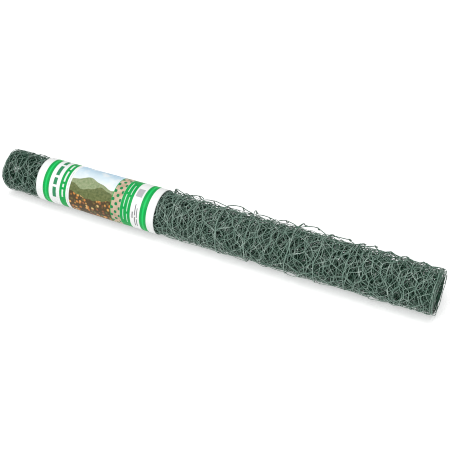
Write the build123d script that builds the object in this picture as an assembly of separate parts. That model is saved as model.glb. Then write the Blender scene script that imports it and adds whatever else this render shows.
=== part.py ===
# Roll of hexagonal wire netting with a paper label sleeve.
# The roll lies on the floor: axis along X, floor at z = 0. Sizes in mm.
import os
from math import cos, degrees, pi, radians, sin

from build123d import *

# --- roll of netting -------------------------------------------------------
roll_length = 500.0        # width of the netting = length of the roll
roll_radius = 24.7         # outermost turn
bore_radius = 7.0          # hollow left in the middle of the winding
turn_count = 40            # turns that show on each end
turn_groove = 0.2          # gap between two turns on an end
turn_groove_depth = 0.8
rim_round = 0.3            # rounded outer rim of each end
seat_depth = 0.6           # the label draws the turns in by this much

# --- paper label: a 148 x 210 sheet, its long side round the roll ----------
label_start = -203.0       # along X
label_end = -55.0
sheet_length = 210.0
label_gap = 0.05           # between the turns and the paper
label_thickness = 0.2
lap_edge_angle = -58.0     # the paper's outer edge, from +Y towards +Z

axis_height = roll_radius
half = roll_length / 2.0
seat_radius = roll_radius - seat_depth
turn_pitch = (roll_radius - bore_radius) / turn_count


def end_points(sign):
    """Profile points of one end, from the bore outwards to the rim."""
    pts = [(sign * half, bore_radius)]
    for turn in range(1, turn_count):
        mid = bore_radius + turn * turn_pitch
        low, high = mid - turn_groove / 2.0, mid + turn_groove / 2.0
        pts.append((sign * half, low))
        pts.append((sign * (half - turn_groove_depth), mid))
        pts.append((sign * half, high))
    return pts


# Half section of the roll, in the plane of the axis (u along X, v = radius).
left = end_points(-1.0)
right = end_points(1.0)
with BuildPart() as roll_maker:
    with BuildSketch(Plane.XZ) as section:
        with BuildLine():
            chain = list(left)
            chain.append((-half, roll_radius - rim_round))
            Polyline(*chain)
            RadiusArc((-half, roll_radius - rim_round),
                      (-half + rim_round, roll_radius), rim_round)
            Polyline((-half + rim_round, roll_radius),
                     (label_start - 1.0, roll_radius),
                     (label_start - 0.2, seat_radius),
                     (label_end + 0.2, seat_radius),
                     (label_end + 1.0, roll_radius),
                     (half - rim_round, roll_radius))
            RadiusArc((half - rim_round, roll_radius),
                      (half, roll_radius - rim_round), rim_round)
            back = [(half, roll_radius - rim_round)] + list(reversed(right))
            Polyline(*back)
            Line((half, bore_radius), (-half, bore_radius))
        make_face()
    revolve(axis=Axis.X)
netting_roll = roll_maker.part.moved(Location((0, 0, axis_height)))

# Paper sleeve: one wrap, with a second thickness where the paper laps itself
# at the back. Section in the YZ plane, angles measured from +Y.
label_inner = seat_radius + label_gap
label_outer = label_inner + label_thickness
lap_outer = label_outer + label_thickness
label_length = label_end - label_start
wrap = 2.0 * pi * (label_inner + label_thickness / 2.0)
lap_angle = degrees((sheet_length - wrap) / (label_outer + label_thickness / 2.0))
lap_end_angle = lap_edge_angle + lap_angle


def rim_point(radius, angle):
    return (radius * cos(radians(angle)), radius * sin(radians(angle)))


with BuildPart() as label_maker:
    with BuildSketch(Plane.YZ.offset(label_start)):
        with BuildLine():
            CenterArc((0, 0), lap_outer, lap_edge_angle, lap_angle)
            Line(rim_point(lap_outer, lap_end_angle),
                 rim_point(label_outer, lap_end_angle))
            CenterArc((0, 0), label_outer, lap_end_angle, 360.0 - lap_angle)
            Line(rim_point(label_outer, lap_edge_angle),
                 rim_point(lap_outer, lap_edge_angle))
        make_face()
        Circle(label_inner, mode=Mode.SUBTRACT)
    extrude(amount=label_length)
label_sleeve = label_maker.part.moved(Location((0, 0, axis_height)))

print("lap angle %.1f deg, lap %.1f mm" % (lap_angle, sheet_length - wrap))
os.makedirs("parts", exist_ok=True)
export_step(netting_roll, "parts/netting_roll.step")
export_step(label_sleeve, "parts/label_sleeve.step")
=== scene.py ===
import bpy
import math
import numpy as np
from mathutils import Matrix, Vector


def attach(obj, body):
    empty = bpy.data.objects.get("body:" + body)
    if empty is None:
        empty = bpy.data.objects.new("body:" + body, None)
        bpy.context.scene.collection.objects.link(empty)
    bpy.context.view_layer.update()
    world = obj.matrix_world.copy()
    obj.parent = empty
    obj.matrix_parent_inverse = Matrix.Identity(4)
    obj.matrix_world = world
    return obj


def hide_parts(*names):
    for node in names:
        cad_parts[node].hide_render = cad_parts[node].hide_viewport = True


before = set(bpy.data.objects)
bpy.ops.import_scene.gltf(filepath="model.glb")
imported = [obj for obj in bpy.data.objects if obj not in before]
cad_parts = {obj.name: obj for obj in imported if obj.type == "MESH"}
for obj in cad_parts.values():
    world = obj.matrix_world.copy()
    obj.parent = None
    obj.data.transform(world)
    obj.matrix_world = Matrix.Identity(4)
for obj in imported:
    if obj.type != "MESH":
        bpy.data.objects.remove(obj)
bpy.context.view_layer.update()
rng = np.random.default_rng(20417)

# ---------------------------------------------------------------------------
# Measures, in metres. The roll lies along X, its axis at height ZC.
# ---------------------------------------------------------------------------
W = 0.500                  # width of the netting
HALF = W / 2
NCOL = 30
MESH = W / NCOL            # column pitch of the hexagons
ROW = 0.0180               # row pitch along the netting
TWIST = 0.0083             # length of a twisted side
PRONG = 0.0028             # cut ends of the first row
NROW = 222
SPLIT_ROW = 34             # rows before this are the outer turns
WIRE = 0.00028             # radius of the coated wire
R_OUT = 0.0238             # middle of the outermost turn
R_IN = 0.0072              # middle of the innermost turn
ZC = 0.0246                # height of the roll's axis
A_END = math.radians(166)  # where the netting's free end lies, from -Y over the top

LAB0, LAB1 = -0.2040, -0.0534
LAB_R = 0.0244
LAP = math.radians(135)    # the paper laps itself by this much
LAP_EDGE = math.radians(238)

LENGTH = PRONG + NROW * ROW

# The winding: tight outside, looser towards the hollow middle. Tables of the
# radius and the angle wound, against the length along the netting.
_r = np.linspace(R_OUT, R_IN, 4000)
_p = np.interp(_r, [0.0067, 0.0133, 0.0180, 0.0240], [1.6, 1.4, 0.75, 0.60])
_ds = 2 * math.pi * 0.5 * (_r[1:] + _r[:-1]) * -np.diff(_r) / (0.5 * (_p[1:] + _p[:-1]))
_scale = _ds.sum() / LENGTH
_s = np.concatenate([[0], np.cumsum(_ds)]) / _scale
_phi = np.concatenate([[0], np.cumsum(2 * math.pi * -np.diff(_r) / (0.5 * (_p[1:] + _p[:-1])))]) / _scale

# Where the rows of each turn would come to lie over those of the turn below,
# and by how much the turns slip on each other so that they lie evenly spread.
_turns = np.arange(0, int(_phi[-1] / (2 * math.pi)))
_row = np.interp(_turns * 2 * math.pi, _phi, _s) / ROW
_slip = np.zeros(len(_turns))
for _k in range(1, len(_turns)):
    _want = 0.382 * _k - _row[_k] - _slip[_k - 1]
    _slip[_k] = _slip[_k - 1] + _want - round(_want)


def smooth(a, b, t):
    u = np.clip((t - a) / (b - a), 0.0, 1.0)
    return u * u * (3 - 2 * u)


# Smooth value noise on a table, for slow bulges of the turns.
class Waves:
    def __init__(self, n, lo, hi):
        self.k = rng.uniform(lo, hi, (n, 2)) * rng.choice([-1, 1], (n, 2))
        self.p = rng.uniform(0, 2 * math.pi, n)
        self.a = rng.uniform(0.5, 1.0, n)
        self.a /= math.sqrt((self.a ** 2).sum() / 2)

    def __call__(self, x, s):
        out = 0.0
        for (kx, ks), p, a in zip(self.k, self.p, self.a):
            out = out + a * np.sin(kx * x + ks * s + p)
        return out


wave_slow = Waves(9, 18, 90)
wave_fast = Waves(12, 105, 285)
wave_x = Waves(18, 28, 115)
wave_s = Waves(18, 28, 115)
wave_low = Waves(10, 60, 170)

# ---------------------------------------------------------------------------
# The netting's wires. Wire k lies between its neighbours; in each row it is
# twisted with one of them, in the next row with the other. Wires -1 and
# 2*NCOL are the straight edge wires. Node n lies n half columns from the edge.
# ---------------------------------------------------------------------------
LAST = 2 * NCOL
NODES = LAST + 1
jit_x = rng.normal(0, 0.0012, (NROW + 1, NODES))
jit_s = rng.normal(0, 0.0012, (NROW + 1, NODES))
jit_r = rng.normal(0, 0.00028, (NROW + 1, NODES))
jit_r[:9] *= 2.4           # the outermost turns are uneven
jit_r[9:18] *= 1.6
jit_r[:, :5] *= 0.4        # but lie close at both edges
jit_r[:, -4:] *= 0.6
jit_r[:18] *= np.interp(np.arange(NODES), [44, 52], [1.0, 0.5])
# a few columns of the outermost turn are drawn out into long narrow meshes,
# so that their wires lie in lines round the roll
drawn = np.zeros((NROW + 1, NODES), bool)
for col in (26, 32, 36, 42, 46, 50):
    drawn[:10, col - 1:col + 2] = True
    for j in range(1, 10, 2):
        pull = rng.uniform(0.0066, 0.0080)
        jit_x[j, col - 1] += pull
        jit_x[j, col + 1] -= pull
    for j in range(0, 10, 2):
        jit_s[j, col] += rng.normal(0, 0.0013)
tilt = np.clip(rng.normal(0, 0.16, (NROW + 1, NODES)), -0.45, 0.45)   # of the twisted sides
tilt[0] = 0
tilt[drawn] *= 0.2
tilt[:, [0, -1]] *= 0.4    # the edge wires run straighter
jit_x[:, 0] *= 0.3
jit_x[:, -1] *= 0.3

# The free end's nodes: how far each stands off the roll, how far it is pushed
# sideways, and how long its cut ends are. In millimetres.
FREE = {0: (0.0, 0.0, 0.7), 2: (0.2, 0.4, 0.7), 4: (0.1, 0.0, 0.7), 6: (0.0, 0.0, 0.5),
        22: (0.0, 0.0, 0.5), 24: (3.8, 0.7, 0.8), 26: (0.5, 0.0, 0.6), 28: (3.4, -3.6, 0.7),
        30: (2.5, -3.2, 0.7), 32: (0.4, -1.5, 0.6), 34: (2.4, -2.6, 0.9), 36: (1.8, -3.6, 1.0),
        38: (1.8, -4.2, 1.0), 40: (2.6, -1.7, 1.7), 42: (3.7, 1.4, 2.4), 44: (2.8, 0.4, 2.2),
        46: (2.0, 2.0, 1.8), 48: (1.4, 2.6, 0.9), 50: (0.8, 1.7, 0.9), 52: (2.0, -2.5, 1.1),
        54: (0.2, -2.5, 0.6), 56: (0.0, -2.6, 0.6), 58: (0.2, -2.4, 0.6), 60: (0.0, 0.0, 0.6)}
free_n = np.array(sorted(FREE))
free_lift = np.array([FREE[n][0] for n in free_n]) * 0.88e-3
free_cut = np.array([FREE[n][2] for n in free_n]) * 1e-3
for n in free_n:
    jit_x[0, n] = FREE[n][1] * 1e-3


def flat_path(k, rows, n_twist, n_slant, turns):
    """Wire k over the given rows, on the flat netting.

    Gives x across the netting, s along it, h, the height off its middle, and
    which points lie in a drawn-out line.
    """
    xs, ss, hs, lines = [], [], [], []
    bow = np.random.default_rng(7000 + k)
    half_pitch = MESH / 2

    def place(j):
        """Node of wire k in row j, which side of it the wire starts on, and its offset."""
        right = (k + j) % 2 == 1
        node = k + 1 if right else k
        alone = node < 0 or node > LAST
        node = min(max(node, 0), LAST)
        return node, (-1.0 if right else 1.0), (0.0 if alone else WIRE)

    for j in range(*rows):
        node, side, a = place(j)
        xc = node * half_pitch + jit_x[j, node]
        s0 = PRONG + j * ROW + jit_s[j, node]
        th = 2 * math.pi * turns * np.linspace(0, 1, n_twist + 1)
        tw_x = xc + side * a * np.cos(th) + tilt[j, node] * TWIST * np.linspace(-0.5, 0.5, n_twist + 1)
        tw_s = s0 + np.linspace(0, 1, n_twist + 1) * TWIST
        tw_h = jit_r[j, node] + side * a * np.sin(th)
        # slanted run to the next row's node, curving out of the twists
        noden, siden, an = place(j + 1)
        jn = min(j + 1, NROW)
        nx = noden * half_pitch + jit_x[jn, noden] + siden * an - 0.5 * tilt[jn, noden] * TWIST
        ns = PRONG + (j + 1) * ROW + jit_s[jn, noden]
        nh = jit_r[jn, noden]
        v = np.linspace(0, 1, n_slant + 1)[1:-1]
        line = bool(drawn[j, node] and drawn[jn, noden])
        ease = v - (0.030 if line else 0.090) * np.sin(2 * math.pi * v)
        sag = np.sin(math.pi * v)
        bx, bh = bow.normal(0, 0.0014), bow.normal(0, 0.00036)
        bx = bx * (0.15 if line else 0.3 if k < 0 or k >= LAST else 1.0)
        sl_x = tw_x[-1] + (nx - tw_x[-1]) * ease + bx * sag
        sl_s = tw_s[-1] + (ns - tw_s[-1]) * v
        sl_h = tw_h[-1] + (nh - tw_h[-1]) * v + bh * sag
        if j == 0:
            # cut ends of the first row: the twisted pair runs on a little
            # and the two ends part
            w = np.linspace(1, 0, 6)[:-1]
            cut = np.interp(node, free_n, free_cut)
            ln = cut * (1.0 if side > 0 else bow.uniform(0.4, 0.9))
            pr_x = tw_x[0] + (side * 0.0006 + bow.normal(0, 0.0007)) * w ** 1.4
            pr_s = tw_s[0] - ln * 0.75 * w
            pr_h = tw_h[0] + (0.0003 + 0.75 * ln) * w ** 1.3
            xs.append(pr_x); ss.append(pr_s); hs.append(pr_h)
            lines.append(np.zeros(len(w)))
        xs.append(tw_x); ss.append(tw_s); hs.append(tw_h)
        xs.append(sl_x); ss.append(sl_s); hs.append(sl_h)
        lines.append(np.full(len(th) + len(v), float(line)))
    # close on the first point of the next row
    xs.append([nx]); ss.append([ns]); hs.append([nh]); lines.append([0.0])
    return np.concatenate(xs), np.concatenate(ss), np.concatenate(hs), np.concatenate(lines)


def wind(xf, s, h):
    """Lay flat netting points on the wound roll.

    Gives the points, the outward directions and the painted light of each point: how far the wires' colour is kept up
    or darkened as painted shade.
    """
    x = xf - HALF
    rad = np.interp(s, _s, _r)
    phi = np.interp(s, _s, _phi) + np.minimum(s, 0) / R_OUT
    turn = np.maximum(phi / (2 * math.pi), 0)
    loose = np.exp(-turn / 1.1)                         # outer turns are looser
    settle = 1 - np.exp(-turn / 0.30)                   # the free end's places are set above
    # the meshes wander sideways, less towards the edges
    inner = smooth(0.0, 0.040, HALF - np.abs(x))
    near = smooth(0.0, 0.016, HALF - np.abs(x))
    wander = (0.12 + 0.88 * inner) * settle * (0.35 + 0.65 * smooth(0.5, 1.1, turn))
    dx, ds = wave_x(x, s), wave_s(x, s)
    x = x + 0.0028 * dx * wander
    # every turn's meshes lie in other places than those of the turn below
    x = x + 0.0062 * np.sin(2 * math.pi * 0.381 * turn + 21 * x) * near * settle
    # inner turns sit a little towards -X, most of all at that end
    far = smooth(-0.06, 0.06, x)
    x = x - 0.0001 - 0.0056 * x - 0.0018 * far * smooth(2.0, 12.0, turn) - 0.0037 * (1 - far) * smooth(2.5, 22.0, turn)
    x = x - 0.0014 * np.sin(2.4 * turn) - 0.0010 * np.sin(5.3 * turn + 1)
    # profile of the roll along its length: tighter at both ends and by the label
    prof = np.interp(x, [-0.250, -0.227, -0.206, -0.120, -0.056, -0.047, 0.013, 0.167, 0.227, 0.250],
                        [0.972, 0.974, 0.972, 0.976, 0.978, 1.002, 1.006, 1.008, 0.988, 0.970])
    keep = 1 - smooth(-0.214, -0.203, x) * (1 - smooth(-0.0546, -0.0473, x))   # 0 under the label
    tight = 1 - 0.6 * (smooth(0.14, 0.20, x) + 1 - smooth(-0.215, -0.205, x))
    bulge = 0.00034 * wave_slow(x, s) + 0.00021 * wave_fast(x, s)
    bulge = bulge * (0.45 + 1.1 * loose * keep)
    lift = 0.0011 * (1 - smooth(0.95, 1.6, turn)) * (1 - 0.4 * np.exp(-((turn - 0.61) / 0.13) ** 2))
    r = rad * prof + bulge + h + lift * keep * tight
    # the outermost turn hangs slack low on the front, in short stretches
    slack = np.exp(-((turn - 0.60) / 0.10) ** 2) * np.clip(wave_low(x, 0.5 * s), 0, 1.6)
    r = r + 0.0004 * slack * keep * tight * (0.15 + 0.85 * smooth(0.01, 0.12, x))
    # the free end springs off the roll
    n = (x + HALF) / (MESH / 2)
    r = r + np.interp(n, free_n, free_lift) * np.clip((0.0225 - s) / 0.0115, 0, 1.08)
    # the label holds the turns in
    top = np.where(keep < 0.5, LAB_R - 0.0008, 0.0310)
    r = np.where(r > top, top - 0.00013 * np.tanh((r - top) / 0.00033), r)
    r = np.maximum(r, 0.0062)
    # the cut end runs a little askew
    a = A_END - phi - math.radians(18) * smooth(-0.01, 0.13, x) * np.exp(-turn / 0.7)
    a = a + 0.0030 * ds * wander / np.maximum(r, 0.012)
    a = a + ROW * np.interp(turn, _turns, _slip) / np.maximum(rad, 0.012)
    y = -r * np.cos(a)
    z = np.maximum(ZC + r * np.sin(a), WIRE * 1.25)
    p = np.stack([x, y, z], -1)
    out = np.stack([np.zeros_like(a), -np.cos(a), np.sin(a)], -1)
    # painted shade: the wires are coloured darker the more turns lie over them, as if those turns shaded them; the
    # wires along the roll's end faces are kept lighter, while the free end's loops and the netting left of the label
    # are painted darker still
    end = 1 - smooth(0.003, 0.009, HALF - np.abs(x))
    by_label = 1 - smooth(-0.215, -0.200, x)
    depth = SHADE - 6.2 * by_label - 3.2 * smooth(0.02, 0.12, x)   # painted shade begins sooner towards both ends
    painted_light = 1 / (1 + np.exp((turn - (depth + (3.0 - depth) * end)) / (0.28 * depth)))
    painted_light = np.maximum(painted_light, (0.11 + 0.05 * np.sin(math.pi * turn)) * end) * np.where(s < 0.0215, 0.40, 1.0)
    painted_light = painted_light * (1 - 0.15 * by_label)
    return p, out, painted_light


SHADE = 12.0               # how many turns down the wires' colour falls into painted shade


def tube(p, n, radius, sides):
    """Ring vertices and quads of a round wire along points p."""
    t = np.gradient(p, axis=0)
    t /= np.linalg.norm(t, axis=1, keepdims=True) + 1e-12
    n1 = n - (n * t).sum(1, keepdims=True) * t
    n1 /= np.linalg.norm(n1, axis=1, keepdims=True) + 1e-12
    b = np.cross(t, n1)
    ang = np.arange(sides) * 2 * math.pi / sides
    radius = np.broadcast_to(radius, len(p))[:, None, None]
    ring = (p[:, None, :] + radius * (np.cos(ang)[None, :, None] * n1[:, None, :]
                                      + np.sin(ang)[None, :, None] * b[:, None, :]))
    m = len(p)
    i = np.arange(m - 1)[:, None] * sides
    q = np.arange(sides)[None, :]
    q2 = (q + 1) % sides
    quads = np.stack([i + q, i + q2, i + sides + q2, i + sides + q], -1).reshape(-1, 4)
    return ring.reshape(-1, 3), quads


def make_mesh(name, verts, face_sets, uvs=None):
    """Mesh object from vertices, arrays of faces with one corner count each, and UV maps."""
    me = bpy.data.meshes.new(name)
    me.vertices.add(len(verts))
    me.vertices.foreach_set("co", np.asarray(verts, np.float32).ravel())
    loops = np.concatenate([f.ravel() for f in face_sets]).astype(np.int32)
    sizes = np.concatenate([np.full(len(f), f.shape[1]) for f in face_sets])
    me.loops.add(len(loops))
    me.loops.foreach_set("vertex_index", loops)
    me.polygons.add(len(sizes))
    me.polygons.foreach_set("loop_start", np.concatenate([[0], np.cumsum(sizes)[:-1]]).astype(np.int32))
    for uname, data in (uvs or {}).items():
        layer = me.uv_layers.new(name=uname)
        layer.data.foreach_set("uv", np.asarray(data, np.float32).ravel())
    me.polygons.foreach_set("use_smooth", np.ones(len(sizes), bool))
    me.update(calc_edges=True)
    me.validate()
    ob = bpy.data.objects.new(name, me)
    bpy.context.scene.collection.objects.link(ob)
    return ob


def netting_piece(name, wires, rows, n_twist, n_slant, sides, turns):
    allv, allq, alluv, caps, capuv, shade = [], [], [], [], [], []
    base = 0
    nw = len(wires)
    for w_i, k in enumerate(wires):
        x, s, h, line = flat_path(k, rows, n_twist, n_slant, turns)
        p, n, painted_light = wind(x, s, h)
        edge = k < 0 or k >= LAST
        gauge = np.full(len(p), WIRE * (1.12 if edge else 1.0))
        gauge[s < 0.0215] *= 1.65      # free end
        gauge[(line > 0) & (s >= 0.0215)] *= 1.2
        if sides == 3 and not edge:
            gauge *= 1.1               # a three-sided wire is thinner than its radius says
            gauge *= 1 + 0.25 * (1 - smooth(-0.242, -0.226, p[:, 0]))
        v, q = tube(p, n, gauge, sides)
        m = len(p)
        allv.append(v)
        allq.append(q + base)
        # painted shade: the side of a wire that faces the roll's middle is coloured darker, as it would get less light
        painted_facing_shade = (0.5 + 0.5 * np.cos(np.arange(sides) * 2 * math.pi / sides)) ** 0.8
        shade.append((painted_light[:, None] * painted_facing_shade[None, :]).ravel())
        # own strip of the sheet for every wire
        uu = np.linspace(0.002, 0.998, m)
        j = np.repeat(np.arange(m - 1), sides)
        c = np.tile(np.arange(sides), m - 1)
        v0 = (w_i + 0.06 + 0.88 * c / sides) / nw
        v1 = (w_i + 0.06 + 0.88 * (c + 1) / sides) / nw
        uv = np.stack([np.stack([uu[j], v0], -1), np.stack([uu[j], v1], -1),
                       np.stack([uu[j + 1], v1], -1), np.stack([uu[j + 1], v0], -1)], 1)
        alluv.append(uv.reshape(-1, 2))
        # closed ends
        ang = np.arange(sides) * 2 * math.pi / sides
        caps.append(np.arange(sides)[::-1] + base)
        caps.append(np.arange(sides) + base + (m - 1) * sides)
        for spot in (0.001, 0.999):
            capuv.append(np.stack([spot + 0.0008 * np.cos(ang), (w_i + 0.5 + 0.3 * np.sin(ang)) / nw], -1))
        base += len(v)
    faces = [np.concatenate(allq), np.array(caps)]
    ob = make_mesh(name, np.concatenate(allv), faces, {"OFBake": np.concatenate(alluv + capuv)})
    # painted light per point, read by the wire material to darken its colour as painted shade
    at = ob.data.attributes.new("painted_light", 'FLOAT', 'POINT')
    at.data.foreach_set("value", np.concatenate(shade).astype(np.float32))
    return ob


all_wires = list(range(-1, LAST + 1))
net_pieces = []
thirds = [all_wires[0:21], all_wires[21:42], all_wires[42:]]
for i, ws in enumerate(thirds):
    net_pieces.append(netting_piece("netting_outer_turns_%d" % (i + 1), ws,
                                    (0, SPLIT_ROW), 10, 6, 5, 2.0))
for i, ws in enumerate(thirds):
    net_pieces.append(netting_piece("netting_inner_turns_%d" % (i + 1), ws,
                                    (SPLIT_ROW, NROW), 3, 4, 3, 1.0))

# ---------------------------------------------------------------------------
# Paper label: one wrap with a lap at the back.
# ---------------------------------------------------------------------------
lab_wave = [Waves(8, 15, 68), Waves(8, 15, 68)]
lab_fine = [Waves(10, 90, 240), Waves(10, 90, 240)]


def label_piece(name):
    nx, na = 84, 140
    xs = np.linspace(LAB0, LAB1, nx + 1)
    be = np.linspace(0, 2 * math.pi + LAP, na + 1)
    X, B = np.meshgrid(xs, be, indexing="ij")
    # angle from -Y over the top; the lap's outer edge lies at the back
    A = LAP_EDGE - B
    S = [LAB_R * 1.5 * np.cos(A), LAB_R * 1.5 * np.sin(A)]
    R = np.interp(X, [LAB0, LAB1], [LAB_R - 0.0002, LAB_R + 0.0004]) + 0.00034 * (1 - B / (2 * math.pi + LAP))
    for w, f, q in zip(lab_wave, lab_fine, S):
        R = R + 0.00011 * w(X, q) + 0.00004 * f(X, q)
    thick = 0.00015

    def at(r):
        y = -r * np.cos(A)
        z = np.maximum(ZC + r * np.sin(A), 0.0002)
        return np.stack([X, y, z], -1)
    outer, inner = at(R), at(R - thick)
    V = np.concatenate([outer.reshape(-1, 3), inner.reshape(-1, 3)])
    n1 = na + 1
    off = (nx + 1) * n1
    idx = lambda i, j: i * n1 + j
    I, J = np.meshgrid(np.arange(nx), np.arange(na), indexing="ij")
    a, b, c, d = idx(I, J), idx(I + 1, J), idx(I + 1, J + 1), idx(I, J + 1)
    q_out = np.stack([a, b, c, d], -1).reshape(-1, 4)
    q_in = np.stack([d, c, b, a], -1).reshape(-1, 4) + off
    i = np.arange(nx)
    j = np.arange(na)
    e = []
    e.append(np.stack([idx(i + 1, 0), idx(i, 0), idx(i, 0) + off, idx(i + 1, 0) + off], -1))
    e.append(np.stack([idx(i, na), idx(i + 1, na), idx(i + 1, na) + off, idx(i, na) + off], -1))
    e.append(np.stack([idx(0, j), idx(0, j + 1), idx(0, j + 1) + off, idx(0, j) + off], -1))
    e.append(np.stack([idx(nx, j + 1), idx(nx, j), idx(nx, j) + off, idx(nx, j + 1) + off], -1))
    Q = np.concatenate([q_out, q_in] + e)
    # flat sheet coordinates: u along the roll 0..1, v round it in radians / 10
    U = (X - LAB0) / (LAB1 - LAB0)
    Vv = A / 10.0
    flat = np.concatenate([np.stack([U, Vv], -1).reshape(-1, 2)] * 2)
    # own sheet for each side
    Bn = B / (2 * math.pi + LAP)
    top = np.stack([U * 0.98 + 0.01, Bn * 0.47 + 0.51], -1).reshape(-1, 2)
    bot = np.stack([U * 0.98 + 0.01, Bn * 0.47 + 0.01], -1).reshape(-1, 2)
    bake = np.concatenate([top, bot])
    ob = make_mesh(name, V, [Q], {"OFBake": bake[Q.ravel()], "sheet": flat[Q.ravel()]})
    back = np.ones(len(Q), np.int32)
    back[:len(q_out)] = 0
    ob.data.polygons.foreach_set("material_index", back)
    return ob


label = label_piece("paper_label")


# ---------------------------------------------------------------------------
# Materials
# ---------------------------------------------------------------------------
def new_mat(name):
    m = bpy.data.materials.new(name)
    m.use_nodes = True
    nt = m.node_tree
    for n in list(nt.nodes):
        nt.nodes.remove(n)
    out = nt.nodes.new("ShaderNodeOutputMaterial")
    bsdf = nt.nodes.new("ShaderNodeBsdfPrincipled")
    nt.links.new(bsdf.outputs["BSDF"], out.inputs["Surface"])
    return m, nt, bsdf


class Graph:
    """Short names for shader maths on sockets and numbers."""

    def __init__(self, nt):
        self.nt = nt

    def put(self, sock, val):
        if isinstance(val, bpy.types.NodeSocket):
            self.nt.links.new(val, sock)
        else:
            sock.default_value = val

    def math(self, op, a, b=0.0, clamp=False):
        n = self.nt.nodes.new("ShaderNodeMath")
        n.operation = op
        n.use_clamp = clamp
        self.put(n.inputs[0], a)
        self.put(n.inputs[1], b)
        return n.outputs[0]

    def between(self, v, lo, hi, soft=0.0015):
        """1 inside lo..hi, 0 outside, with a thin soft edge."""
        up = self.math('DIVIDE', self.math('SUBTRACT', v, lo), soft, True)
        dn = self.math('DIVIDE', self.math('SUBTRACT', hi, v), soft, True)
        return self.math('MULTIPLY', up, dn)

    def above(self, v, lo, soft=0.0015):
        return self.math('DIVIDE', self.math('SUBTRACT', v, lo), soft, True)

    def mul(self, a, b):
        return self.math('MULTIPLY', a, b)

    def mix(self, fac, a, b):
        n = self.nt.nodes.new("ShaderNodeMix")
        n.data_type = 'RGBA'
        self.put(n.inputs[0], fac)
        self.put(n.inputs[6], a)
        self.put(n.inputs[7], b)
        return n.outputs[2]

    def wave(self, v, k, p, amp, base):
        t = self.math('SINE', self.math('ADD', self.math('MULTIPLY', v, k), p))
        return self.math('ADD', self.math('MULTIPLY', t, amp), base)

    def noise(self, vec, scale, detail=2.0):
        n = self.nt.nodes.new("ShaderNodeTexNoise")
        n.inputs["Scale"].default_value = scale
        n.inputs["Detail"].default_value = detail
        self.put(n.inputs["Vector"], vec)
        return n.outputs["Fac"]

    def ramp(self, fac, stops, mode='LINEAR'):
        n = self.nt.nodes.new("ShaderNodeValToRGB")
        cr = n.color_ramp
        cr.interpolation = mode
        for i, (pos, col) in enumerate(stops):
            e = cr.elements[i] if i < 2 else cr.elements.new(pos)
            e.position = pos
            e.color = (*col, 1)
        self.put(n.inputs["Fac"], fac)
        return n.outputs["Color"]


def wire_material():
    m, nt, bsdf = new_mat("green_coated_wire")
    g = Graph(nt)
    tc = nt.nodes.new("ShaderNodeTexCoord")
    # the painted light attribute carries the painted shade worked out for each point of the netting
    at = nt.nodes.new("ShaderNodeAttribute")
    at.attribute_name = "painted_light"
    lit = at.outputs["Fac"]
    # the coating's tone varies at random; its brightest stop stands in for painted glints of light on the glossy
    # coating
    coat_tone_and_glints = g.ramp(g.noise(tc.outputs["Object"], 135.0, 3.0),
                  [(0.30, (0.170, 0.278, 0.224)), (0.55, (0.252, 0.360, 0.302)), (0.70, (0.490, 0.602, 0.538))])
    # painted shade: where the painted light is low the colour turns to the dark green of the shaded depths
    g.put(bsdf.inputs["Base Color"], g.mix(lit, (0.018, 0.084, 0.046, 1), coat_tone_and_glints))
    fine = g.noise(tc.outputs["Object"], 1350.0, 2.0)
    g.put(bsdf.inputs["Roughness"], g.math('ADD', g.math('MULTIPLY', fine, 0.16), 0.24))
    bsdf.inputs["Specular IOR Level"].default_value = 0.5
    bump = nt.nodes.new("ShaderNodeBump")
    bump.inputs["Strength"].default_value = 0.15
    bump.inputs["Distance"].default_value = 0.00007
    g.put(bump.inputs["Height"], fine)
    nt.links.new(bump.outputs["Normal"], bsdf.inputs["Normal"])
    return m


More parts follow.
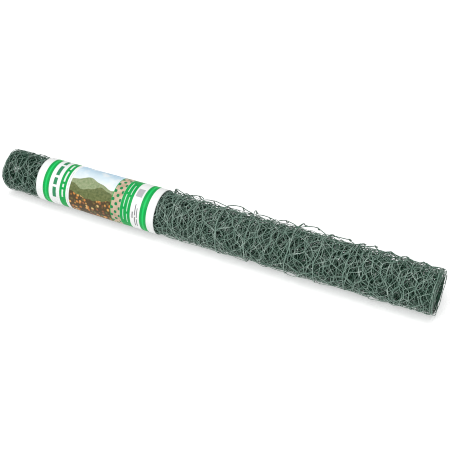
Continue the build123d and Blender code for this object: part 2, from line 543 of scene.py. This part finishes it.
def label_material():
    m, nt, bsdf = new_mat("printed_label_paper")
    g = Graph(nt)
    uv = nt.nodes.new("ShaderNodeUVMap")
    uv.uv_map = "sheet"
    sep = nt.nodes.new("ShaderNodeSeparateXYZ")
    nt.links.new(uv.outputs["UV"], sep.inputs["Vector"])
    u = sep.outputs["X"]                       # 0..1 along the roll
    a = g.math('MULTIPLY', sep.outputs["Y"], 10.0)   # angle, from -Y over the top
    # the flat sheet, in one unit both ways, for the small printed patterns
    comb = nt.nodes.new("ShaderNodeCombineXYZ")
    g.put(comb.inputs[0], g.math('MULTIPLY', u, 22.3))
    g.put(comb.inputs[1], g.math('MULTIPLY', a, 3.67))
    flat = comb.outputs[0]

    white = (0.83, 0.845, 0.84, 1)
    green = (0.006, 0.36, 0.075, 1)
    deep = (0.012, 0.215, 0.070, 1)
    light = (0.012, 0.60, 0.125, 1)

    # --- ground: white sheet, green stripes -----------------------------------
    col = g.mix(g.between(u, 0.0592, 0.1144), white, green)
    col = g.mix(g.between(u, 0.0769, 0.0960, 0.006), col, light)
    col = g.mix(g.between(u, 0.2045, 0.2617), col, green)
    col = g.mix(g.between(u, 0.7253, 0.8099), col, green)
    col = g.mix(g.between(u, 0.8839, 0.9405), col, green)
    col = g.mix(g.between(u, 0.9026, 0.9212, 0.006), col, light)

    # --- picture panel: bed of round dabs, soft hills and sky, one above the other -----
    sky_f = g.math('DIVIDE', g.math('SUBTRACT', a, 0.95), 1.35, True)
    sky = g.ramp(sky_f, [(0.0, (0.82, 0.86, 0.85)), (0.45, (0.64, 0.78, 0.87)), (1.0, (0.36, 0.60, 0.80))])
    cloud = g.ramp(g.noise(flat, 0.42, 3.0), [(0.50, (0, 0, 0)), (0.66, (1, 1, 1))])
    pic = g.mix(g.mul(cloud, 0.75), sky, (0.86, 0.89, 0.89, 1))
    h1 = g.math('ADD', g.wave(u, 17.0, 0.5, 0.150, 1.12), g.wave(u, 46.0, 1.0, 0.035, 0.0))
    h2 = g.math('ADD', g.wave(u, 21.0, 2.6, 0.130, 0.80), g.wave(u, 61.0, 0.2, 0.026, 0.0))
    h3 = g.math('ADD', g.wave(u, 14.0, 4.4, 0.100, 0.38), g.wave(u, 83.0, 0.9, 0.022, 0.0))
    grass = g.noise(flat, 2.6, 4.0)
    hill1 = g.ramp(grass, [(0.30, (0.20, 0.27, 0.13)), (0.72, (0.36, 0.40, 0.24))])
    hill2 = g.ramp(grass, [(0.30, (0.085, 0.115, 0.040)), (0.72, (0.19, 0.21, 0.085))])
    pic = g.mix(g.above(a, h1, 0.012), hill1, pic)
    pic = g.mix(g.above(a, h2, 0.012), hill2, pic)
    vor = nt.nodes.new("ShaderNodeTexVoronoi")
    vor.inputs["Scale"].default_value = 1.9
    g.put(vor.inputs["Vector"], flat)
    pick = nt.nodes.new("ShaderNodeSeparateColor")
    nt.links.new(vor.outputs["Color"], pick.inputs["Color"])
    dab = g.ramp(pick.outputs["Red"], [
        (0.0, (0.10, 0.055, 0.030)), (0.16, (0.58, 0.23, 0.055)), (0.34, (0.16, 0.13, 0.045)),
        (0.50, (0.70, 0.36, 0.10)), (0.64, (0.30, 0.12, 0.05)), (0.80, (0.74, 0.50, 0.22)),
        (0.92, (0.13, 0.16, 0.05))], 'CONSTANT')
    rim = g.math('DIVIDE', g.math('SUBTRACT', vor.outputs["Distance"], 0.30), 0.28, True)
    bed = g.mix(rim, dab, (0.085, 0.060, 0.028, 1))
    pic = g.mix(g.above(a, h3, 0.030), bed, pic)
    # a tan strip with round green dots, on one side of the panel
    px = g.math('SINE', g.math('MULTIPLY', u, 22.3 * 4.6))
    py = g.math('SINE', g.math('MULTIPLY', a, 3.67 * 4.6))
    dots = g.math('DIVIDE', g.math('SUBTRACT', g.mul(px, py), 0.30), 0.12, True)
    tan = g.ramp(g.noise(flat, 1.1, 2.0), [(0.3, (0.46, 0.33, 0.22)), (0.7, (0.62, 0.50, 0.37))])
    pic = g.mix(g.between(u, 0.6450, 0.8), pic, green)
    pic = g.mix(g.between(u, 0.6500, 0.8), pic, g.mix(dots, tan, deep))
    # the panel ends above and below in a green line
    panel = g.between(u, 0.2880, 0.7253)
    col = g.mix(g.mul(panel, g.between(a, -1.06, 2.66, 0.012)), col, green)
    col = g.mix(g.mul(panel, g.between(a, -1.00, 2.60, 0.012)), col, pic)

    # --- plain bars -------------------------------------------------------------------
    def bars(col, u0, u1, spans, tint):
        mask = None
        for a0, a1 in spans:
            b = g.between(a, a0, a1, 0.012)
            mask = b if mask is None else g.math('MAXIMUM', mask, b)
        return g.mix(g.mul(g.between(u, u0, u1, 0.002), mask), col, tint)

    col = bars(col, 0.1452, 0.1771, [(-0.10, 0.42), (0.52, 0.86), (0.96, 1.52), (1.62, 2.05)], (0.035, 0.25, 0.11, 1))
    col = bars(col, 0.2256, 0.2408, [(0.02, 0.40), (0.50, 0.66), (0.76, 1.30), (1.40, 1.80)], (0.70, 0.82, 0.74, 1))
    col = bars(col, 0.2718, 0.2767, [(-0.25, 0.55), (0.62, 1.35)], (0.42, 0.42, 0.44, 1))
    col = bars(col, 0.7487, 0.7565, [(-0.20, 0.34), (0.44, 1.02), (1.12, 1.70)], (0.55, 0.80, 0.62, 1))
    col = bars(col, 0.7788, 0.7867, [(-0.32, 0.16), (0.26, 0.92), (1.02, 1.55)], (0.55, 0.80, 0.62, 1))
    col = bars(col, 0.8234, 0.8333, [(0.02, 0.34)], (0.05, 0.05, 0.055, 1))
    col = bars(col, 0.8434, 0.8522, [(-0.40, 0.12), (0.18, 0.70)], (0.15, 0.145, 0.16, 1))
    col = bars(col, 0.8590, 0.8678, [(-0.40, 0.02), (0.08, 0.54)], (0.17, 0.165, 0.18, 1))
    col = bars(col, 0.8197, 0.8722, [(1.02, 1.46)], (0.46, 0.45, 0.48, 1))

    # --- paper: slight changes of tone, gloss and surface -----------------------------
    tone = g.ramp(g.noise(flat, 0.55, 3.0), [(0.30, (0.93, 0.93, 0.92)), (0.70, (1.0, 1.0, 1.0))])
    mul = nt.nodes.new("ShaderNodeMix")
    mul.data_type = 'RGBA'
    mul.blend_type = 'MULTIPLY'
    mul.inputs[0].default_value = 1.0
    g.put(mul.inputs[6], col)
    g.put(mul.inputs[7], tone)
    nt.links.new(mul.outputs[2], bsdf.inputs["Base Color"])
    rough = nt.nodes.new("ShaderNodeMapRange")
    g.put(rough.inputs["Value"], g.noise(flat, 3.0, 2.0))
    rough.inputs["To Min"].default_value = 0.34
    rough.inputs["To Max"].default_value = 0.50
    nt.links.new(rough.outputs["Result"], bsdf.inputs["Roughness"])
    bsdf.inputs["Specular IOR Level"].default_value = 0.14
    bump = nt.nodes.new("ShaderNodeBump")
    bump.inputs["Strength"].default_value = 0.25
    bump.inputs["Distance"].default_value = 0.00027
    g.put(bump.inputs["Height"], g.noise(flat, 5.0, 3.0))
    nt.links.new(bump.outputs["Normal"], bsdf.inputs["Normal"])
    return m


def paper_back_material():
    m, nt, bsdf = new_mat("label_paper_back")
    g = Graph(nt)
    tc = nt.nodes.new("ShaderNodeTexCoord")
    tone = g.ramp(g.noise(tc.outputs["Object"], 210.0, 4.0),
                  [(0.3, (0.74, 0.75, 0.73)), (0.7, (0.84, 0.85, 0.83))])
    nt.links.new(tone, bsdf.inputs["Base Color"])
    bsdf.inputs["Roughness"].default_value = 0.75
    return m


wire_mat = wire_material()
paper_mat = label_material()
for ob in net_pieces:
    ob.data.materials.append(wire_mat)
    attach(ob, "root")
    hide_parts("netting_roll")
label.data.materials.append(paper_mat)
label.data.materials.append(paper_back_material())
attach(label, "root")
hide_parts("label_sleeve")
label.visible_diffuse = False   # no coloured glow on the floor

# ---------------------------------------------------------------------------
# Floor, light, camera
# ---------------------------------------------------------------------------
bpy.ops.mesh.primitive_plane_add(size=60, location=(0, 0, -0.0001))
floor = bpy.context.object
floor.name = "floor"
fm, fnt, fb = new_mat("floor_white")
fb.inputs["Base Color"].default_value = (0.66, 0.66, 0.66, 1)
fb.inputs["Roughness"].default_value = 0.9
fb.inputs["Emission Color"].default_value = (1, 1, 1, 1)
fb.inputs["Emission Strength"].default_value = 0.43
floor.data.materials.append(fm)

world = bpy.data.worlds.new("studio")
bpy.context.scene.world = world
world.use_nodes = True
bg = world.node_tree.nodes["Background"]
bg.inputs["Color"].default_value = (1, 1, 1, 1)
bg.inputs["Strength"].default_value = 0.42


def sun(name, direction, angle, strength):
    d = bpy.data.lights.new(name, 'SUN')
    d.angle = math.radians(angle)
    d.energy = strength
    o = bpy.data.objects.new(name, d)
    o.rotation_mode = 'QUATERNION'
    o.rotation_quaternion = (-Vector(direction)).to_track_quat('-Z', 'Y')
    bpy.context.scene.collection.objects.link(o)
    return o


sun("key", (-0.25, -0.95, 1.10), 38, 1.45)
sun("top", (0.0, -0.16, 1.0), 26, 1.20)

cam_d = bpy.data.cameras.new("camera")
cam_d.sensor_width = 36.0
cam_d.lens = 72.74
cam_d.clip_start = 0.01
cam = bpy.data.objects.new("camera", cam_d)
psi, el = math.radians(25.995), math.radians(36.437)
back = Vector((math.sin(psi) * math.cos(el), -math.cos(psi) * math.cos(el), math.sin(el)))
cam.location = Vector((0.356290, -0.690353, 0.598363))
cam.rotation_mode = 'QUATERNION'
cam.rotation_quaternion = (-back).to_track_quat('-Z', 'Y')
bpy.context.scene.collection.objects.link(cam)
bpy.context.scene.camera = cam
bpy.context.scene.view_settings.view_transform = 'Standard'
bpy.context.scene.cycles.filter_width = 1.12
bpy.context.scene.cycles.denoising_prefilter = 'NONE'   # keeps the thin wires
